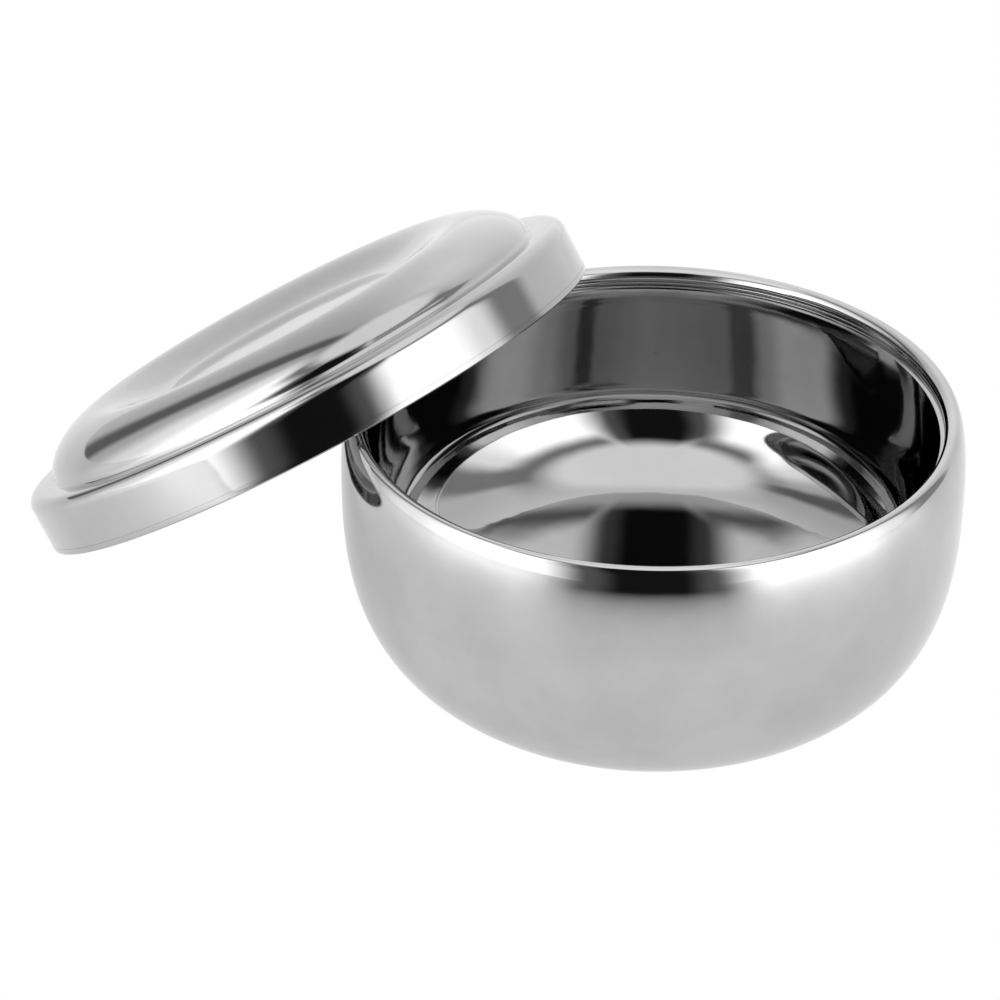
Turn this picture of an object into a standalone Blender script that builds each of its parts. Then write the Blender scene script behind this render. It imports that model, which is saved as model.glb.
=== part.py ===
"""Shaving bowl with lid: polished double-wall bowl, lid off and leaning on its rim.

Metres, +Z up. The origin is the centre of the bowl's flat base, which stands on z = 0.
The lid leans at the back left: one edge of its skirt is on the table and the
bottom edge of the skirt lies on the bowl's rim.
"""

import math

import bmesh
import bpy
from mathutils import Matrix, Vector

# driving dimensions, in metres
UNIT = 0.050  # largest outer radius of the bowl
SEGMENTS = 48  # facets round each turned piece
SHEET = 0.0006  # steel sheet of the bowl's two walls
LID_SHEET = 0.0005  # steel sheet of the lid's two walls
GAP = 0.0003  # clearance kept between pieces that meet

# bowl, outer wall
BOWL_HEIGHT = 0.0477
BELLY_HEIGHT = 0.0358  # height of the widest circle
CREST_R = 0.04785  # radius of the top of the lip
FOOT_R = 0.0180  # radius of the flat base
LOWER_POWER = 2.82  # fullness of the curve below the belly
UPPER_POWER = 2.26  # fullness of the curve above the belly
LIP_ROLL = 0.0016  # radius of the lip's inward roll
LIP_DROP = 0.0018  # how far the rolled lip comes down inside

# seam ring between the two walls
SEAM_HEIGHT = 0.0009

# bowl, inner wall: an upright wall, a wide rounded fillet and a gently dished floor
WALL_TOP_R = 0.0461  # at the height of the seam's lower edge the wall starts at the seam
WALL_TOP_Z = 0.0445
WALL_FOOT_R = 0.0458  # where the fillet begins
WALL_FOOT_Z = 0.0271
FILLET_END_R = 0.0220  # where the fillet's curve would run level
FILLET_END_Z = 0.0099
FILLET_POWER = 2.09  # fullness of the fillet
FLOOR_R = 0.0250  # edge of the dished floor
FLOOR_SLOPE = 0.0903  # slope of the floor at that edge

# lid, in its own frame: skirt edge at height 0, axis +Z
LID_R = 0.0510
SKIRT_HEIGHT = 0.00995
SHOULDER = 0.0022
DOME_R = 0.0453
DOME_Z = 0.01055
CREST_LID_R = 0.0346  # radius of the lid's highest ring
CREST_LID_Z = 0.01740
DISH_DEPTH = 0.0032  # how far the flat centre panel lies below that ring
PANEL_R = 0.0200
DOME_POWER = 1.70
HEM_HEIGHT = 0.0011
HEM_WIDTH = 0.0013
CEILING_Z = 0.0086  # underside of the lid's inner wall

# pose of the leaning lid
LID_CENTRE = (-0.05520, 0.03475, 0.02792)
LID_TILT = math.radians(33.33)
LID_AZIMUTH = math.radians(147.21)

# lift joint of the lid: a straight way up, so that it clears the bowl
LID_LIFT_TRAVEL = 0.060


def clear_scene():
    for ob in list(bpy.data.objects):
        bpy.data.objects.remove(ob, do_unlink=True)


def steel(name, colour, roughness):
    m = bpy.data.materials.new(name)
    m.use_nodes = True
    b = m.node_tree.nodes["Principled BSDF"]
    b.inputs["Base Color"].default_value = (*colour, 1.0)
    b.inputs["Metallic"].default_value = 1.0
    b.inputs["Roughness"].default_value = roughness
    return m


def offset(points, amount):
    """The same open line moved sideways by amount: positive is to the left of its direction."""
    moved = []
    for i, p in enumerate(points):
        a = Vector(points[max(i - 1, 0)])
        b = Vector(points[min(i + 1, len(points) - 1)])
        d = (b - a).normalized()
        moved.append((p[0] - d.y * amount, p[1] + d.x * amount))
    return moved


def clean(points, least=2.5e-4):
    kept = [points[0]]
    for p in points[1:-1]:
        if math.dist(p, kept[-1]) >= least:
            kept.append(p)
    if math.dist(points[-1], kept[-1]) < least and len(kept) > 1:
        kept.pop()
    kept.append(points[-1])
    return kept


def lathe(name, loop, material, segments=SEGMENTS):
    """Turns a closed (r, z) loop about Z. Points at r = 0 become single vertices."""
    bm = bmesh.new()
    rings = []
    for r, z in loop:
        if r < 1e-9:
            rings.append([bm.verts.new((0.0, 0.0, z))])
        else:
            rings.append(
                [
                    bm.verts.new(
                        (
                            r * math.cos(2 * math.pi * k / segments),
                            r * math.sin(2 * math.pi * k / segments),
                            z,
                        )
                    )
                    for k in range(segments)
                ]
            )
    for i, a in enumerate(rings):
        b = rings[(i + 1) % len(rings)]
        if len(a) == 1 and len(b) == 1:
            continue
        for k in range(segments):
            n = (k + 1) % segments
            if len(a) == 1:
                bm.faces.new((a[0], b[n], b[k]))
            elif len(b) == 1:
                bm.faces.new((a[k], a[n], b[0]))
            else:
                bm.faces.new((a[k], a[n], b[n], b[k]))
    bmesh.ops.recalc_face_normals(bm, faces=bm.faces)
    if bm.calc_volume(signed=True) < 0:
        bmesh.ops.reverse_faces(bm, faces=bm.faces)
    mesh = bpy.data.meshes.new(name)
    bm.to_mesh(mesh)
    bm.free()
    mesh.materials.append(material)
    for poly in mesh.polygons:
        poly.use_smooth = True
    ob = bpy.data.objects.new(name, mesh)
    bpy.context.scene.collection.objects.link(ob)
    return ob


def quarter(r0, z0, r1, z1, power, count, start=0.0):
    """Superellipse quarter from (r1, z0) to (r0, z1), upright at its start and level at its end."""
    out = []
    for i in range(count + 1):
        t = start + (math.pi / 2 - start) * i / count
        c = max(math.cos(t), 0.0) ** (2 / power)
        s = max(math.sin(t), 0.0) ** (2 / power)
        out.append((r0 + (r1 - r0) * c, z0 + (z1 - z0) * s))
    return out


def bowl_outside(lower=10, upper=5, roll=4):
    """Outer face of the outer wall, from the centre of the base up and over the lip."""
    below = quarter(FOOT_R, BELLY_HEIGHT, UNIT, 0.0, LOWER_POWER, lower)
    above = quarter(CREST_R, BELLY_HEIGHT, UNIT, BOWL_HEIGHT, UPPER_POWER, upper)
    line = [(0.0, 0.0), (0.009, 0.0)] + list(reversed(below)) + above[1:]
    centre = (CREST_R, BOWL_HEIGHT - LIP_ROLL)
    for i in range(1, roll + 1):
        a = math.pi / 2 + (math.pi / 2) * i / roll
        line.append((centre[0] + LIP_ROLL * math.cos(a), centre[1] + LIP_ROLL * math.sin(a)))
    line.append((CREST_R - LIP_ROLL, BOWL_HEIGHT - LIP_DROP))
    return line


def floor_height(r):
    """Dished floor: a shallow parabola that meets the fillet at FLOOR_R."""
    c = ((FLOOR_R - FILLET_END_R) / (WALL_FOOT_R - FILLET_END_R)) ** (FILLET_POWER / 2)
    edge = WALL_FOOT_Z + (FILLET_END_Z - WALL_FOOT_Z) * (1 - c * c) ** (1 / FILLET_POWER)
    return edge - FLOOR_SLOPE * (FLOOR_R**2 - r * r) / (2 * FLOOR_R)


def liner_inside(wall=3, fillet=10, floor=4):
    """Face of the inner wall seen from above, from under the lip down to the floor's centre."""
    top = (CREST_R - LIP_ROLL, BOWL_HEIGHT - LIP_DROP - SEAM_HEIGHT - 2 * GAP)
    line = [top]
    for i in range(wall + 1):
        t = i / wall
        line.append(
            (
                WALL_TOP_R + (WALL_FOOT_R - WALL_TOP_R) * t,
                WALL_TOP_Z - 0.0020 + (WALL_FOOT_Z - WALL_TOP_Z + 0.0020) * t,
            )
        )
    turn = quarter(FILLET_END_R, WALL_FOOT_Z, WALL_FOOT_R, FILLET_END_Z, FILLET_POWER, fillet)
    line += [p for p in turn[1:] if p[0] > FLOOR_R + 0.0005]
    for i in range(floor + 1):
        r = FLOOR_R * (1 - i / floor)
        line.append((r, floor_height(r)))
    return line


def lid_outside(shoulder=3, dome=5, dish=4):
    """Upper face of the lid, from above the hem round the shoulder and dome to the sunk flat panel."""
    line = [(LID_R, HEM_HEIGHT + GAP)]
    for i in range(shoulder + 1):
        a = (math.pi / 2) * i / shoulder
        line.append(
            (
                LID_R - SHOULDER + SHOULDER * math.cos(a),
                SKIRT_HEIGHT - SHOULDER + SHOULDER * math.sin(a),
            )
        )
    line.append((DOME_R + 0.0012, SKIRT_HEIGHT + 0.0001))
    line.append((DOME_R + 0.0004, SKIRT_HEIGHT))
    line += quarter(CREST_LID_R, DOME_Z, DOME_R, CREST_LID_Z, DOME_POWER, dome)
    for i in range(1, dish + 1):
        t = i / dish
        r = CREST_LID_R + (PANEL_R - CREST_LID_R) * t
        line.append((r, CREST_LID_Z - DISH_DEPTH * math.sin(math.pi / 2 * t) ** 2))
    line += [(PANEL_R / 2, CREST_LID_Z - DISH_DEPTH), (0.0, CREST_LID_Z - DISH_DEPTH)]
    return line


def lid_underside(corner=3):
    """Lower face of the lid's inner wall, from above the hem to the centre."""
    r = LID_R - HEM_WIDTH
    line = [(r, HEM_HEIGHT + GAP)]
    for i in range(corner + 1):
        a = (math.pi / 2) * i / corner
        line.append(
            (r - 0.0025 + 0.0025 * math.cos(a), CEILING_Z - 0.0025 + 0.0025 * math.sin(a))
        )
    line += [(0.034, CEILING_Z), (0.018, CEILING_Z), (0.0, CEILING_Z)]
    return line


def closed_from(outer, inner):
    return outer + list(reversed(inner))


def build():
    clear_scene()
    mirror = steel("mirror_steel", (0.78, 0.78, 0.79), 0.06)
    mirror_inner = steel("mirror_steel_inner", (0.74, 0.74, 0.75), 0.08)
    weld = steel("polished_weld", (0.68, 0.68, 0.69), 0.16)
    lid_top = steel("lid_mirror_steel", (0.78, 0.78, 0.79), 0.06)
    lid_in = steel("lid_inner_steel", (0.72, 0.72, 0.73), 0.12)
    hem = steel("lid_hem_steel", (0.70, 0.70, 0.71), 0.12)

    # outer wall: the outside line and the same line one sheet thickness further in
    outside = clean(bowl_outside())
    inside = offset(outside, SHEET)
    inside[0] = (0.0, SHEET)
    lathe("outer_shell", closed_from(outside, inside), mirror)

    # inner wall: the visible face, and the hidden face one sheet thickness behind it
    face = clean(liner_inside())
    back = offset(face, -SHEET)
    back[0] = (face[0][0] + SHEET, face[0][1])
    back[-1] = (0.0, face[-1][1] - SHEET)
    lathe("inner_liner", closed_from(face, back), mirror_inner)

    # seam ring: the ground weld that closes the two walls just inside the lip
    r = CREST_R - LIP_ROLL
    top = BOWL_HEIGHT - LIP_DROP - GAP
    low = top - SEAM_HEIGHT
    lathe(
        "rim_seam",
        [
            (r, low),
            (r - 0.0001, low + 0.0002),
            (r - 0.0001, top - 0.0002),
            (r, top),
            (r + SHEET, top),
            (r + SHEET, low),
        ],
        weld,
    )

    # lid: outer cover, inner cover and the hem ring that joins them at the skirt's edge
    cover = clean(lid_outside())
    under = offset(cover, LID_SHEET)
    under[0] = (LID_R - LID_SHEET, cover[0][1])
    under[-1] = (0.0, cover[-1][1] - LID_SHEET)
    shell = lathe("lid_shell", closed_from(cover, under), lid_top)
    lower = clean(lid_underside())
    upper = offset(lower, -LID_SHEET)
    upper[0] = (lower[0][0] + LID_SHEET - 0.0001, lower[0][1])
    upper[-1] = (0.0, CEILING_Z + LID_SHEET)
    liner = lathe("lid_liner", closed_from(lower, upper), lid_in)
    outer, inner = LID_R, LID_R - HEM_WIDTH
    band = [
        (outer - 0.0003, 0.0),
        (outer, 0.0003),
        (outer, HEM_HEIGHT),
        (inner, HEM_HEIGHT),
        (inner, 0.0003),
        (inner + 0.0003, 0.0),
    ]
    ring = lathe("lid_hem", band, hem)

    n = Vector(
        (
            math.sin(LID_TILT) * math.cos(LID_AZIMUTH),
            math.sin(LID_TILT) * math.sin(LID_AZIMUTH),
            math.cos(LID_TILT),
        )
    )
    down = Vector(
        (
            math.cos(LID_TILT) * math.cos(LID_AZIMUTH),
            math.cos(LID_TILT) * math.sin(LID_AZIMUTH),
            -math.sin(LID_TILT),
        )
    )
    side = n.cross(down)
    turn = Matrix((down, side, n)).transposed()
    for ob in (shell, liner, ring):
        ob.rotation_mode = "XYZ"
        ob.rotation_euler = turn.to_euler("XYZ")
        ob.location = LID_CENTRE


build()
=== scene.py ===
import math

import bmesh
import bpy
from mathutils import Matrix, Vector


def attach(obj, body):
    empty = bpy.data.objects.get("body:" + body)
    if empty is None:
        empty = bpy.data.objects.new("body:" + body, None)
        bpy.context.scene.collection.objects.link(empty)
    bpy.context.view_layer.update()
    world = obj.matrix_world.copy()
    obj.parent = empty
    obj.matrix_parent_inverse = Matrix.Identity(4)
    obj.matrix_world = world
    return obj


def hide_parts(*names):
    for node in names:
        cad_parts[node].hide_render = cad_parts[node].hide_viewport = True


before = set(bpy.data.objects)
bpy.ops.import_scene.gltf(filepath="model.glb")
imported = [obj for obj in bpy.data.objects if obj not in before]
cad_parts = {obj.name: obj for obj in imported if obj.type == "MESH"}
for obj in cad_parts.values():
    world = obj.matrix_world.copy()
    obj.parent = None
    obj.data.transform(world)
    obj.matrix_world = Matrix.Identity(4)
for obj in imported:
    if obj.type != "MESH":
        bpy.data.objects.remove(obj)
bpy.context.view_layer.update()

# ---------------------------------------------------------------- dimensions, as in the CAD (metres)
UNIT = 0.050
SHEET = 0.0006
LID_SHEET = 0.0005
BOWL_HEIGHT = 0.0477
BELLY_HEIGHT = 0.0358
CREST_R = 0.04785
FOOT_R = 0.0180
LOWER_POWER = 2.82
UPPER_POWER = 2.26
LIP_ROLL = 0.0016
LIP_DROP = 0.0018
SEAM_HEIGHT = 0.0009
WALL_TOP_R = 0.0461
WALL_TOP_Z = 0.0445
WALL_FOOT_R = 0.0458
WALL_FOOT_Z = 0.0271
FILLET_END_R = 0.0220
FILLET_END_Z = 0.0099
FILLET_POWER = 2.09
FLOOR_R = 0.0250
FLOOR_SLOPE = 0.0903
LID_R = 0.0510
SKIRT_HEIGHT = 0.00995
SHOULDER = 0.0022
DOME_R = 0.0453
DOME_Z = 0.01055
CREST_LID_R = 0.0346
CREST_LID_Z = 0.01740
DISH_DEPTH = 0.0032
PANEL_R = 0.0200
DOME_POWER = 1.70
HEM_HEIGHT = 0.0011
HEM_WIDTH = 0.0013
CEILING_Z = 0.0086
LID_CENTRE = (-0.05520, 0.03475, 0.02792)
LID_TILT = math.radians(33.33)
LID_AZIMUTH = math.radians(147.21)
SEGMENTS = 288
STEP = 0.00035  # spacing of the rings of vertices along each profile
SEAM = 0.00003  # hairline left between pieces that are welded in the real object


# ---------------------------------------------------------------- profiles
def quarter(r0, z0, r1, z1, power, count):
    out = []
    for i in range(count + 1):
        t = (math.pi / 2) * i / count
        c = max(math.cos(t), 0.0) ** (2 / power)
        s = max(math.sin(t), 0.0) ** (2 / power)
        out.append((r0 + (r1 - r0) * c, z0 + (z1 - z0) * s))
    return out


def even(points, step):
    """The same line with points at even steps along it, straight between its points."""
    line = [points[0]]
    for p in points[1:]:
        if math.dist(p, line[-1]) > 1e-7:
            line.append(p)
    lengths = [0.0]
    for a, b in zip(line, line[1:]):
        lengths.append(lengths[-1] + math.dist(a, b))
    n = max(2, int(round(lengths[-1] / step)))
    out = []
    k = 0
    for i in range(n + 1):
        s = lengths[-1] * i / n
        while k < len(line) - 2 and lengths[k + 1] < s:
            k += 1
        t = (s - lengths[k]) / (lengths[k + 1] - lengths[k])
        out.append(
            (
                line[k][0] + (line[k + 1][0] - line[k][0]) * t,
                line[k][1] + (line[k + 1][1] - line[k][1]) * t,
            )
        )
    return out


def offset(points, amount):
    moved = []
    for i, p in enumerate(points):
        a = Vector(points[max(i - 1, 0)])
        b = Vector(points[min(i + 1, len(points) - 1)])
        d = (b - a).normalized()
        moved.append((p[0] - d.y * amount, p[1] + d.x * amount))
    return moved


def bowl_outside():
    below = quarter(FOOT_R, BELLY_HEIGHT, UNIT, 0.0, LOWER_POWER, 400)
    above = quarter(CREST_R, BELLY_HEIGHT, UNIT, BOWL_HEIGHT, UPPER_POWER, 200)
    line = [(0.0, 0.0), (0.009, 0.0)] + list(reversed(below)) + above[1:]
    centre = (CREST_R, BOWL_HEIGHT - LIP_ROLL)
    for i in range(1, 41):
        a = math.pi / 2 + (math.pi / 2) * i / 40
        line.append((centre[0] + LIP_ROLL * math.cos(a), centre[1] + LIP_ROLL * math.sin(a)))
    line.append((CREST_R - LIP_ROLL, BOWL_HEIGHT - LIP_DROP - 0.0002))
    return line


def floor_height(r):
    c = ((FLOOR_R - FILLET_END_R) / (WALL_FOOT_R - FILLET_END_R)) ** (FILLET_POWER / 2)
    edge = WALL_FOOT_Z + (FILLET_END_Z - WALL_FOOT_Z) * (1 - c * c) ** (1 / FILLET_POWER)
    return edge - FLOOR_SLOPE * (FLOOR_R**2 - r * r) / (2 * FLOOR_R)


def smooth(points, passes):
    """The same evenly spaced line with its corners eased; the ends stay put."""
    for _ in range(passes):
        points = (
            points[:1]
            + [
                ((a[0] + 2 * b[0] + c[0]) / 4, (a[1] + 2 * b[1] + c[1]) / 4)
                for a, b, c in zip(points, points[1:], points[2:])
            ]
            + points[-1:]
        )
    return points


def liner_inside():
    top = (CREST_R - LIP_ROLL, BOWL_HEIGHT - LIP_DROP - 0.0002 - SEAM_HEIGHT - 2 * SEAM)
    line = [top]
    for i in range(41):
        t = i / 40
        line.append(
            (
                WALL_TOP_R + (WALL_FOOT_R - WALL_TOP_R) * t,
                WALL_TOP_Z - 0.0020 + (WALL_FOOT_Z - WALL_TOP_Z + 0.0020) * t,
            )
        )
    turn = quarter(FILLET_END_R, WALL_FOOT_Z, WALL_FOOT_R, FILLET_END_Z, FILLET_POWER, 240)
    line += [p for p in turn[1:] if p[0] > FLOOR_R]
    for i in range(61):
        r = FLOOR_R * (1 - i / 60)
        line.append((r, floor_height(r)))
    return smooth(even(line, STEP), 8)


def lid_outside():
    line = [(LID_R, HEM_HEIGHT + SEAM)]
    for i in range(33):
        a = (math.pi / 2) * i / 32
        line.append(
            (
                LID_R - SHOULDER + SHOULDER * math.cos(a),
                SKIRT_HEIGHT - SHOULDER + SHOULDER * math.sin(a),
            )
        )
    line.append((DOME_R + 0.0012, SKIRT_HEIGHT + 0.0001))
    line.append((DOME_R + 0.0004, SKIRT_HEIGHT))
    line += quarter(CREST_LID_R, DOME_Z, DOME_R, CREST_LID_Z, DOME_POWER, 160)
    for i in range(1, 101):
        t = i / 100
        r = CREST_LID_R + (PANEL_R - CREST_LID_R) * t
        line.append((r, CREST_LID_Z - DISH_DEPTH * math.sin(math.pi / 2 * t) ** 2))
    line += [(PANEL_R * (1 - i / 40), CREST_LID_Z - DISH_DEPTH) for i in range(1, 41)]
    return line


def lid_underside():
    r = LID_R - HEM_WIDTH
    line = [(r, HEM_HEIGHT + SEAM)]
    for i in range(25):
        a = (math.pi / 2) * i / 24
        line.append((r - 0.0025 + 0.0025 * math.cos(a), CEILING_Z - 0.0025 + 0.0025 * math.sin(a)))
    line += [(0.034, CEILING_Z), (0.018, CEILING_Z), (0.0, CEILING_Z)]
    return line


# ---------------------------------------------------------------- meshes
def lathe(name, loop, material, pose=None, segments=SEGMENTS, sharp=35.0):
    """Turns a closed (r, z) loop about Z, keeps its own coordinates as "local", then poses the vertices."""
    bm = bmesh.new()
    rings = []
    for r, z in loop:
        if r < 1e-7:
            rings.append([bm.verts.new((0.0, 0.0, z))])
        else:
            rings.append(
                [
                    bm.verts.new(
                        (
                            r * math.cos(2 * math.pi * k / segments),
                            r * math.sin(2 * math.pi * k / segments),
                            z,
                        )
                    )
                    for k in range(segments)
                ]
            )
    for i, a in enumerate(rings):
        b = rings[(i + 1) % len(rings)]
        if len(a) == 1 and len(b) == 1:
            continue
        for k in range(segments):
            n = (k + 1) % segments
            if len(a) == 1:
                bm.faces.new((a[0], b[n], b[k]))
            elif len(b) == 1:
                bm.faces.new((a[k], a[n], b[0]))
            else:
                bm.faces.new((a[k], a[n], b[n], b[k]))
    bmesh.ops.recalc_face_normals(bm, faces=bm.faces)
    if bm.calc_volume(signed=True) < 0:
        bmesh.ops.reverse_faces(bm, faces=bm.faces)
    for e in bm.edges:
        e.smooth = e.calc_face_angle(0.0) < math.radians(sharp)
    for f in bm.faces:
        f.smooth = True
    mesh = bpy.data.meshes.new(name)
    bm.to_mesh(mesh)
    bm.free()
    mesh.materials.append(material)
    local = mesh.attributes.new("local", "FLOAT_VECTOR", "POINT")
    for v in mesh.vertices:
        local.data[v.index].vector = v.co
    if pose is not None:
        mesh.transform(pose)
    ob = bpy.data.objects.new(name, mesh)
    bpy.context.scene.collection.objects.link(ob)
    return ob


# ---------------------------------------------------------------- materials
def link(tree, a, b):
    tree.links.new(a, b)


def steel(name, colour, rough, haze=0.03, wave=0.00002, rings=0.0, coarse=45.0, cloudy=0.05):
    """Mirror-polished steel: faint haze patches, wheel marks that run round the piece, slow waviness."""
    m = bpy.data.materials.new(name)
    m.use_nodes = True
    t = m.node_tree
    b = t.nodes["Principled BSDF"]
    b.inputs["Metallic"].default_value = 1.0
    co = t.nodes.new("ShaderNodeAttribute")
    co.attribute_name = "local"
    # cloudy tone left by hand polishing
    cloud = t.nodes.new("ShaderNodeTexNoise")
    cloud.inputs["Scale"].default_value = 60.0
    cloud.inputs["Detail"].default_value = 4.0
    cloud.inputs["Roughness"].default_value = 0.55
    link(t, co.outputs["Vector"], cloud.inputs["Vector"])
    cloud_share = t.nodes.new("ShaderNodeMapRange")
    cloud_share.inputs["From Min"].default_value = 0.34
    cloud_share.inputs["From Max"].default_value = 0.66
    link(t, cloud.outputs["Fac"], cloud_share.inputs["Value"])
    tone = t.nodes.new("ShaderNodeMix")
    tone.data_type = "RGBA"
    tone.inputs["A"].default_value = (*(c * (1 - cloudy) for c in colour), 1.0)
    tone.inputs["B"].default_value = (*(c * (1 + cloudy) for c in colour), 1.0)
    link(t, cloud_share.outputs["Result"], tone.inputs["Factor"])
    link(t, tone.outputs["Result"], b.inputs["Base Color"])
    # haze: patches of slightly duller polish
    haze_noise = t.nodes.new("ShaderNodeTexNoise")
    haze_noise.inputs["Scale"].default_value = coarse
    haze_noise.inputs["Detail"].default_value = 6.0
    haze_noise.inputs["Roughness"].default_value = 0.6
    link(t, co.outputs["Vector"], haze_noise.inputs["Vector"])
    haze_map = t.nodes.new("ShaderNodeMapRange")
    haze_map.inputs["From Min"].default_value = 0.35
    haze_map.inputs["From Max"].default_value = 0.75
    haze_map.inputs["To Min"].default_value = rough
    haze_map.inputs["To Max"].default_value = rough + haze
    link(t, haze_noise.outputs["Fac"], haze_map.inputs["Value"])
    # fine wheel marks round the axis: noise in (radius, height), almost constant round the turn
    sep = t.nodes.new("ShaderNodeSeparateXYZ")
    link(t, co.outputs["Vector"], sep.inputs["Vector"])
    flat = t.nodes.new("ShaderNodeCombineXYZ")
    link(t, sep.outputs["X"], flat.inputs["X"])
    link(t, sep.outputs["Y"], flat.inputs["Y"])
    radius = t.nodes.new("ShaderNodeVectorMath")
    radius.operation = "LENGTH"
    link(t, flat.outputs["Vector"], radius.inputs[0])
    turn = t.nodes.new("ShaderNodeMath")
    turn.operation = "ARCTAN2"
    link(t, sep.outputs["Y"], turn.inputs[0])
    link(t, sep.outputs["X"], turn.inputs[1])
    slow = t.nodes.new("ShaderNodeMath")
    slow.operation = "MULTIPLY"
    slow.inputs[1].default_value = 0.0006
    link(t, turn.outputs["Value"], slow.inputs[0])
    ring_co = t.nodes.new("ShaderNodeCombineXYZ")
    link(t, radius.outputs["Value"], ring_co.inputs["X"])
    link(t, slow.outputs["Value"], ring_co.inputs["Y"])
    link(t, sep.outputs["Z"], ring_co.inputs["Z"])
    ring_noise = t.nodes.new("ShaderNodeTexNoise")
    ring_noise.inputs["Scale"].default_value = 5200.0
    ring_noise.inputs["Detail"].default_value = 3.0
    link(t, ring_co.outputs["Vector"], ring_noise.inputs["Vector"])
    ring_map = t.nodes.new("ShaderNodeMapRange")
    ring_map.inputs["From Min"].default_value = 0.55
    ring_map.inputs["From Max"].default_value = 0.85
    ring_map.inputs["To Min"].default_value = 0.0
    ring_map.inputs["To Max"].default_value = rings
    link(t, ring_noise.outputs["Fac"], ring_map.inputs["Value"])
    total = t.nodes.new("ShaderNodeMath")
    total.operation = "ADD"
    link(t, haze_map.outputs["Result"], total.inputs[0])
    link(t, ring_map.outputs["Result"], total.inputs[1])
    link(t, total.outputs["Value"], b.inputs["Roughness"])
    # waviness of pressed sheet: millimetre-scale slopes of a fraction of a degree
    wave_noise = t.nodes.new("ShaderNodeTexNoise")
    wave_noise.inputs["Scale"].default_value = 90.0
    wave_noise.inputs["Detail"].default_value = 2.0
    link(t, co.outputs["Vector"], wave_noise.inputs["Vector"])
    bump = t.nodes.new("ShaderNodeBump")
    bump.inputs["Strength"].default_value = 1.0
    bump.inputs["Distance"].default_value = wave
    link(t, wave_noise.outputs["Fac"], bump.inputs["Height"])
    link(t, bump.outputs["Normal"], b.inputs["Normal"])
    return m


mirror = steel("mirror_steel", (0.50, 0.50, 0.50), 0.04, haze=0.07, wave=0.00005, rings=0.02, cloudy=0.06)
# the inner liner is the same steel made darker (0.43 against 0.50 outside): painted shade for the inside of
# the bowl
mirror_inner = steel("mirror_steel_inner", (0.43, 0.43, 0.43), 0.03, haze=0.03, wave=0.00005, rings=0.02)
weld = steel("polished_weld", (0.40, 0.40, 0.41), 0.10, haze=0.08, wave=0.00003, rings=0.05)
lid_top = steel("lid_mirror_steel", (0.44, 0.44, 0.44), 0.035, haze=0.06, wave=0.00005, rings=0.02)
lid_in = steel("lid_inner_steel", (0.43, 0.43, 0.43), 0.07, haze=0.06, wave=0.00003, rings=0.04)
hem_steel = steel("lid_hem_steel", (0.43, 0.43, 0.43), 0.06, haze=0.06, wave=0.00002, rings=0.03)

# ---------------------------------------------------------------- bowl
outside = even(bowl_outside(), STEP)
inside = offset(outside, SHEET)
inside[0] = (0.0, SHEET)
bowl_outer = lathe("bowl_outer_wall", outside + list(reversed(inside)), mirror)

face = liner_inside()
back = offset(face, -SHEET)
back[0] = (face[0][0] + SHEET, face[0][1])
back[-1] = (0.0, face[-1][1] - SHEET)
bowl_inner = lathe("bowl_inner_wall", face + list(reversed(back)), mirror_inner)

seam_r = CREST_R - LIP_ROLL
seam_top = BOWL_HEIGHT - LIP_DROP - 0.0002 - SEAM
seam_low = seam_top - SEAM_HEIGHT
seam_loop = []
for i in range(13):
    a = math.pi / 2 + math.pi * i / 12
    seam_loop.append(
        (
            seam_r + 0.00002 + 0.00009 * math.cos(a),
            (seam_top + seam_low) / 2 + SEAM_HEIGHT / 2 * math.sin(a),
        )
    )
seam_loop += [(seam_r + SHEET, seam_low), (seam_r + SHEET, seam_top)]
bowl_seam = lathe("bowl_rim_seam", seam_loop, weld)

# ---------------------------------------------------------------- lid
n = Vector(
    (
        math.sin(LID_TILT) * math.cos(LID_AZIMUTH),
        math.sin(LID_TILT) * math.sin(LID_AZIMUTH),
        math.cos(LID_TILT),
    )
)
down = Vector(
    (
        math.cos(LID_TILT) * math.cos(LID_AZIMUTH),
        math.cos(LID_TILT) * math.sin(LID_AZIMUTH),
        -math.sin(LID_TILT),
    )
)
lid_turn = Matrix((down, n.cross(down), n)).transposed().to_4x4()
lid_pose = Matrix.Translation(LID_CENTRE) @ lid_turn

cover = even(lid_outside(), STEP)
under = offset(cover, LID_SHEET)
under[0] = (LID_R - LID_SHEET, cover[0][1])
under[-1] = (0.0, cover[-1][1] - LID_SHEET)
lid_cover = lathe("lid_cover", cover + list(reversed(under)), lid_top, lid_pose)

lower = even(lid_underside(), STEP)
upper = offset(lower, -LID_SHEET)
upper[0] = (lower[0][0] + LID_SHEET - 0.0001, lower[0][1])
upper[-1] = (0.0, CEILING_Z + LID_SHEET)
lid_inside = lathe("lid_inside", lower + list(reversed(upper)), lid_in, lid_pose)

hem_out, hem_in = LID_R, LID_R - HEM_WIDTH
hem_loop = []
for cx, a0 in ((hem_out - 0.0003, 0.0), (hem_in + 0.0003, -math.pi / 2)):
    for i in range(9):
        a = a0 - (math.pi / 2) * i / 8
        hem_loop.append((cx + 0.0003 * math.cos(a), 0.0003 + 0.0003 * math.sin(a)))
hem_loop += [(hem_in, HEM_HEIGHT), (hem_out, HEM_HEIGHT)]
lid_hem = lathe("lid_hem_band", hem_loop, hem_steel, lid_pose)

for ob, body, node, slot in (
    (bowl_outer, "bowl", "outer_shell", "mirror_steel"),
    (bowl_inner, "bowl", "inner_liner", "mirror_steel_inner"),
    (bowl_seam, "bowl", "rim_seam", "polished_weld"),
    (lid_cover, "lid", "lid_shell", "lid_mirror_steel"),
    (lid_inside, "lid", "lid_liner", "lid_inner_steel"),
    (lid_hem, "lid", "lid_hem", "lid_hem_steel"),
):
    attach(ob, body)
    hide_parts(node)


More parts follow.
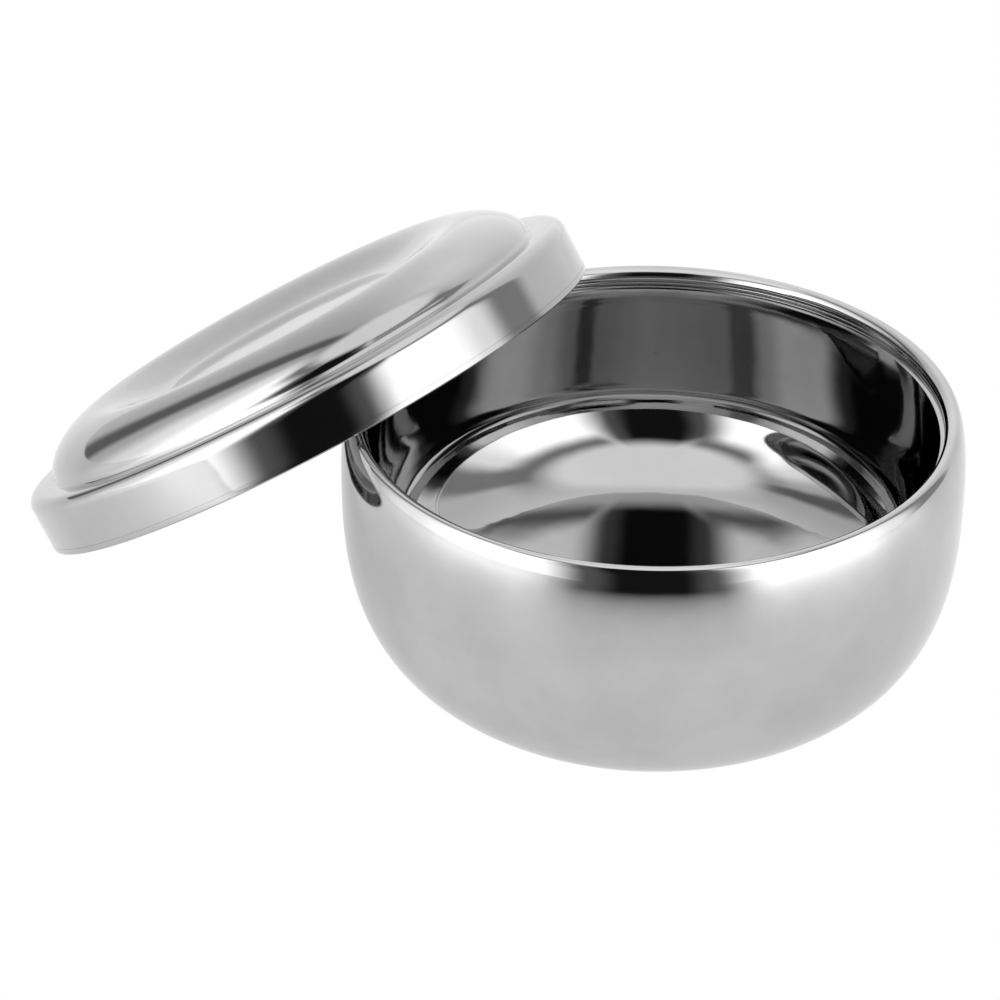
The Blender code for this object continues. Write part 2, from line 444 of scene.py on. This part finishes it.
# ---------------------------------------------------------------- studio
def ramp(tree, stops):
    node = tree.nodes.new("ShaderNodeValToRGB")
    node.color_ramp.interpolation = "EASE"
    el = node.color_ramp.elements
    while len(el) > 1:
        el.remove(el[-1])
    el[0].position = stops[0][0]
    el[0].color = (stops[0][1],) * 3 + (1.0,)
    for pos, value in stops[1:]:
        e = el.new(pos)
        e.color = (value, value, value, 1.0)
    return node


def math_node(tree, op, a, b=None, c=None):
    node = tree.nodes.new("ShaderNodeMath")
    node.operation = op
    for i, v in enumerate((a, b, c)):
        if v is None:
            continue
        if hasattr(v, "links") or hasattr(v, "is_linked"):
            link(tree, v, node.inputs[i])
        else:
            node.inputs[i].default_value = v
    return node.outputs["Value"]


def az(deg):
    return (deg + 180.0) / 360.0


def elev(deg):
    return (deg + 90.0) / 180.0


def eased(tree, value, low, high, to_low=0.0, to_high=1.0):
    node = tree.nodes.new("ShaderNodeMapRange")
    node.interpolation_type = "SMOOTHSTEP"
    node.inputs["From Min"].default_value = low
    node.inputs["From Max"].default_value = high
    node.inputs["To Min"].default_value = to_low
    node.inputs["To Max"].default_value = to_high
    link(tree, value, node.inputs["Value"])
    return node.outputs["Result"]


# light round the set by bearing, 0 in front and positive to the right: two wide soft boxes at the
# sides, a dark gap between them in front, narrow dark gaps behind them and white paper at the back
PEAK = 2.5
BEARINGS = [
    (-180, 1.20),
    (-136, 0.78),
    (-128, 0.20),
    (-122, 0.20),
    (-114, 0.80),
    (-92, 1.6),
    (-64, 2.45),
    (-41, 2.4),
    (-22, 0.15),
    (-11, 0.012),
    (8, 0.012),
    (18, 0.14),
    (36, 2.45),
    (66, 2.45),
    (86, 1.6),
    (100, 0.38),
    (112, 0.38),
    (121, 0.95),
    (180, 1.20),
]
# painted light on the table as the steel sees it: glow by bearing, bright under the soft boxes and dark in
# the gap in front
TABLE_BEARINGS = [
    (-180, 1.05),
    (-112, 0.95),
    (-90, 1.35),
    (-66, 1.85),
    (-44, 1.75),
    (-22, 0.15),
    (-11, 0.012),
    (8, 0.012),
    (18, 0.14),
    (38, 2.2),
    (66, 2.2),
    (86, 1.4),
    (104, 0.95),
    (180, 1.05),
]


def bearing_light(tree, x, y):
    """Turn (0 to 1, front = 0.5) of the direction (x, y), ready for the ramp of bearings."""
    minus_y = math_node(tree, "MULTIPLY", y, -1.0)
    turn = math_node(tree, "ARCTAN2", x, minus_y)
    return math_node(tree, "MULTIPLY_ADD", turn, 1 / (2 * math.pi), 0.5)


bm = bmesh.new()
bmesh.ops.create_icosphere(bm, subdivisions=5, radius=0.38)
bmesh.ops.reverse_faces(bm, faces=bm.faces)
mesh = bpy.data.meshes.new("studio_dome")
bm.to_mesh(mesh)
bm.free()
dome = bpy.data.objects.new("studio_dome", mesh)
bpy.context.scene.collection.objects.link(dome)
dm = bpy.data.materials.new("studio_light")
dm.use_nodes = True
t = dm.node_tree
t.nodes.clear()
out = t.nodes.new("ShaderNodeOutputMaterial")
em = t.nodes.new("ShaderNodeEmission")
co = t.nodes.new("ShaderNodeTexCoord")
norm = t.nodes.new("ShaderNodeVectorMath")
norm.operation = "NORMALIZE"
link(t, co.outputs["Object"], norm.inputs[0])
sep = t.nodes.new("ShaderNodeSeparateXYZ")
link(t, norm.outputs["Vector"], sep.inputs["Vector"])
bearing = bearing_light(t, sep.outputs["X"], sep.outputs["Y"])
height = math_node(t, "ARCSINE", sep.outputs["Z"])
height = math_node(t, "MULTIPLY", height, 180 / math.pi)
# the left soft box is lower towards the front, so the dark gap widens upwards on that side
lean = eased(t, height, 14, 62, 0.0, 8 / 360)
lean = math_node(t, "MULTIPLY", lean, eased(t, bearing, az(-112), az(-70)))
lean = math_node(t, "MULTIPLY", lean, eased(t, bearing, az(-8), az(2), 1.0, 0.0))
shifted = math_node(t, "ADD", bearing, lean)
band = ramp(t, [(az(a), v / PEAK) for a, v in BEARINGS])
link(t, shifted, band.inputs["Fac"])
# soft upper edges of the soft boxes: highest on the left and at the back, lower in front; above them a
# dim ring of ceiling that brightens towards the top; the gap in front runs up to the bright part
left_back = eased(t, bearing, az(-90), az(-62), 1.0, 0.0)
right_back = eased(t, bearing, az(95), az(135))
raised = math_node(t, "MAXIMUM", left_back, right_back)
gap = math_node(
    t, "MULTIPLY", eased(t, bearing, az(-36), az(-20)), eased(t, bearing, az(17), az(33), 1.0, 0.0)
)
raised = math_node(t, "MAXIMUM", raised, math_node(t, "MULTIPLY", gap, 1.4))
edge_height = math_node(t, "MULTIPLY_ADD", raised, -9.0, height)
above = eased(t, edge_height, 48, 62)
behind = math_node(
    t,
    "MAXIMUM",
    eased(t, bearing, az(-150), az(-125), 1.0, 0.0),
    eased(t, bearing, az(118), az(150)),
)
ring = math_node(t, "MULTIPLY_ADD", behind, 0.54, 0.34)
ring_share = eased(t, height, 62, 72, 1.0, 0.0)
ring_share = math_node(t, "MULTIPLY", ring_share, math_node(t, "SUBTRACT", 1.0, gap))
ceiling = math_node(
    t, "MULTIPLY_ADD", ring_share, math_node(t, "SUBTRACT", ring, 1.36), 1.36
)
ceiling = math_node(t, "MULTIPLY", ceiling, 1 / PEAK)
mix = t.nodes.new("ShaderNodeMix")
mix.data_type = "RGBA"
link(t, above, mix.inputs["Factor"])
link(t, band.outputs["Color"], mix.inputs["A"])
grey = t.nodes.new("ShaderNodeCombineXYZ")
for k in range(3):
    link(t, ceiling, grey.inputs[k])
link(t, grey.outputs["Vector"], mix.inputs["B"])
link(t, mix.outputs["Result"], em.inputs["Color"])
em.inputs["Strength"].default_value = PEAK
link(t, em.outputs["Emission"], out.inputs["Surface"])
mesh.materials.append(dm)
dome.visible_camera = False
dome.visible_shadow = False


def disc(name, radius, z, rings=40, sides=96):
    bm = bmesh.new()
    bmesh.ops.create_circle(bm, cap_ends=True, radius=radius, segments=sides)
    m = bpy.data.meshes.new(name)
    bm.to_mesh(m)
    bm.free()
    ob = bpy.data.objects.new(name, m)
    ob.location = (0.0, 0.0, z)
    bpy.context.scene.collection.objects.link(ob)
    return ob


def floor_material(name, colour, glow):
    m = bpy.data.materials.new(name)
    m.use_nodes = True
    b = m.node_tree.nodes["Principled BSDF"]
    b.inputs["Base Color"].default_value = (colour, colour, colour, 1.0)
    b.inputs["Roughness"].default_value = 0.9
    b.inputs["Specular IOR Level"].default_value = 0.0
    b.inputs["Emission Color"].default_value = (1.0, 1.0, 1.0, 1.0)
    b.inputs["Emission Strength"].default_value = glow
    return m


floor = disc("floor", 6.0, -0.0002)
floor.data.materials.append(floor_material("floor_paper", 0.0, 1.0))
floor.visible_glossy = False
floor.visible_diffuse = False
# the table as the steel sees it, a glowing disc of painted light: evenly grey near the bowl as painted
# shade where the bowl shades the table, and painted light further out by bearing, lit like the wall above
# it
table = disc("floor_in_reflections", 2.1, -0.0001)
tm = bpy.data.materials.new("floor_paper_painted_light")
tm.use_nodes = True
t = tm.node_tree
b = t.nodes["Principled BSDF"]
b.inputs["Roughness"].default_value = 0.9
b.inputs["Specular IOR Level"].default_value = 0.0
co = t.nodes.new("ShaderNodeTexCoord")
sep = t.nodes.new("ShaderNodeSeparateXYZ")
link(t, co.outputs["Object"], sep.inputs["Vector"])
reach = t.nodes.new("ShaderNodeVectorMath")
reach.operation = "LENGTH"
link(t, co.outputs["Object"], reach.inputs[0])
# painted shade near the bowl (an even grey glow) easing out to the painted light by bearing further away
far = eased(t, reach.outputs["Value"], 0.080, 0.235)
band = ramp(t, [(az(a), v / PEAK) for a, v in TABLE_BEARINGS])
link(t, bearing_light(t, sep.outputs["X"], sep.outputs["Y"]), band.inputs["Fac"])
mix = t.nodes.new("ShaderNodeMix")
mix.data_type = "RGBA"
link(t, far, mix.inputs["Factor"])
mix.inputs["A"].default_value = (0.68 / PEAK, 0.68 / PEAK, 0.68 / PEAK, 1.0)
link(t, band.outputs["Color"], mix.inputs["B"])
link(t, mix.outputs["Result"], b.inputs["Emission Color"])
b.inputs["Emission Strength"].default_value = PEAK
paper = t.nodes.new("ShaderNodeMix")
paper.data_type = "RGBA"
link(t, far, paper.inputs["Factor"])
paper.inputs["A"].default_value = (0.28, 0.28, 0.28, 1.0)
paper.inputs["B"].default_value = (0.0, 0.0, 0.0, 1.0)
link(t, paper.outputs["Result"], b.inputs["Base Color"])
table.data.materials.append(tm)
table.visible_camera = False

world = bpy.data.worlds.new("studio")
bpy.context.scene.world = world
world.use_nodes = True
world.node_tree.nodes["Background"].inputs["Color"].default_value = (1.0, 1.0, 1.0, 1.0)
world.node_tree.nodes["Background"].inputs["Strength"].default_value = 1.0

bpy.context.scene.view_settings.view_transform = "Standard"
bpy.context.scene.view_settings.look = "None"

# ---------------------------------------------------------------- camera
cam_data = bpy.data.cameras.new("camera")
cam_data.sensor_width = 36.0
cam_data.lens = 132.7
cam_data.clip_end = 20.0
cam = bpy.data.objects.new("camera", cam_data)
cam.location = (-0.02449, -0.50844, 0.34114)
cam.rotation_euler = (math.radians(90 - 31.4437), 0.0, 0.0)
bpy.context.scene.collection.objects.link(cam)
bpy.context.scene.camera = cam

bpy.context.view_layer.update()
